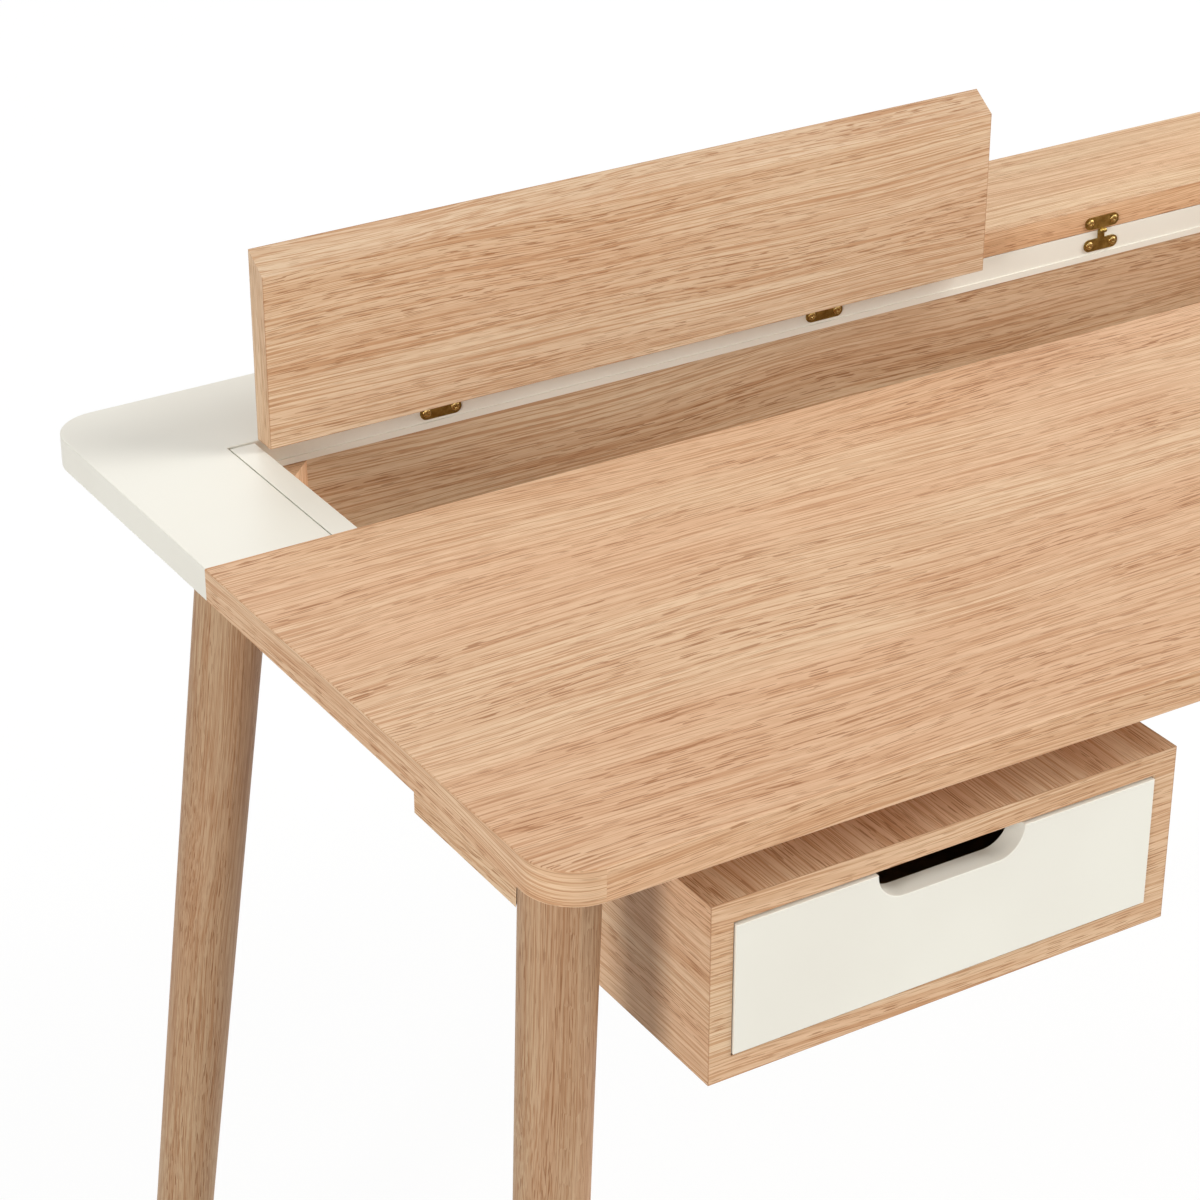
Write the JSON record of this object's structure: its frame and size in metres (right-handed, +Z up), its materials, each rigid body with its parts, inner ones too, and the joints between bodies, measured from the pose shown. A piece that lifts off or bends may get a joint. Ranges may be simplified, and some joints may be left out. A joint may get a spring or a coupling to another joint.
{
  "type": "writing_desk",
  "caption": "Writing desk: oak worktop with white rear panel, hinged trough with two lids, hung drawer, four round splayed legs",
  "frame": {"origin": "On the floor, under the middle of the bounding box with the left lid standing open and the right lid folded back, as in the picture.", "axes": "+X runs along the desk to the right of someone sitting at it, +Y from the sitter to the back, +Z up."},
  "size_m": [1.5424, 0.7548, 0.8943],
  "materials": {
    "oak": "pale oak veneer and solid oak, matt clear lacquer",
    "white_lacquer": "warm white satin lacquer on board",
    "birch": "clear lacquered birch ply",
    "antique_brass": "dark antique brass",
    "zinc_steel": "bright zinc plated",
    "nylon": "moulded, matt"
  },
  "bodies": {
    "desk": {"box_back": "oak", "box_bottom": "oak", "box_screws": "zinc_steel", "box_side_left": "oak", "box_side_right": "oak", "box_top": "oak", "cross_batten_left": "oak", "cross_batten_right": "oak", "drawer_stops": "birch", "floor_screws": "zinc_steel", "foot_glides": "nylon", "frame_screws": "zinc_steel", "front_rail": "oak", "hinge_pins_left": "antique_brass", "hinge_pins_right": "antique_brass", "lacquered_panel": "white_lacquer", "leg_bolts": "zinc_steel", "leg_front_left": "oak", "leg_front_right": "oak", "leg_rear_left": "oak", "leg_rear_right": "oak", "leg_sleeves": "zinc_steel", "lid_rests": "oak", "oak_slab": "oak", "panel_leaves_left": "antique_brass", "panel_leaves_right": "antique_brass", "panel_screws_left": "antique_brass", "panel_screws_right": "antique_brass", "rear_rail": "oak", "runner_left": "birch", "runner_right": "birch", "side_rail_left": "oak", "side_rail_right": "oak", "trough_corner_blocks": "oak", "trough_end_left": "white_lacquer", "trough_end_right": "white_lacquer", "trough_floor": "oak", "trough_front_wall": "oak", "trough_rear_wall": "oak"},
    "left_lid": {"lid_left": "oak", "lid_leaves_left": "antique_brass", "lid_screws_left": "antique_brass"},
    "right_lid": {"lid_right": "oak", "lid_leaves_right": "antique_brass", "lid_screws_right": "antique_brass"},
    "drawer": {"drawer_front": "white_lacquer", "drawer_side_left": "birch", "drawer_side_right": "birch", "drawer_back": "birch", "drawer_bottom": "birch"}
  },
  "joints": [
    {"name": "left_lid_hinge", "type": "hinge", "parent": "desk", "child": "left_lid", "pos_m": [-0.30938, 0.23313, 0.75], "axis": [-1, 0, 0], "range_deg": [-90, 90]},
    {"name": "right_lid_hinge", "type": "hinge", "parent": "desk", "child": "right_lid", "pos_m": [0.30938, 0.23313, 0.75], "axis": [-1, 0, 0], "range_deg": [-180, 0]},
    {"name": "drawer_slide", "type": "slide", "parent": "desk", "child": "drawer", "axis": [0, -1, 0], "range_m": [0, 0.14]}
  ]
}
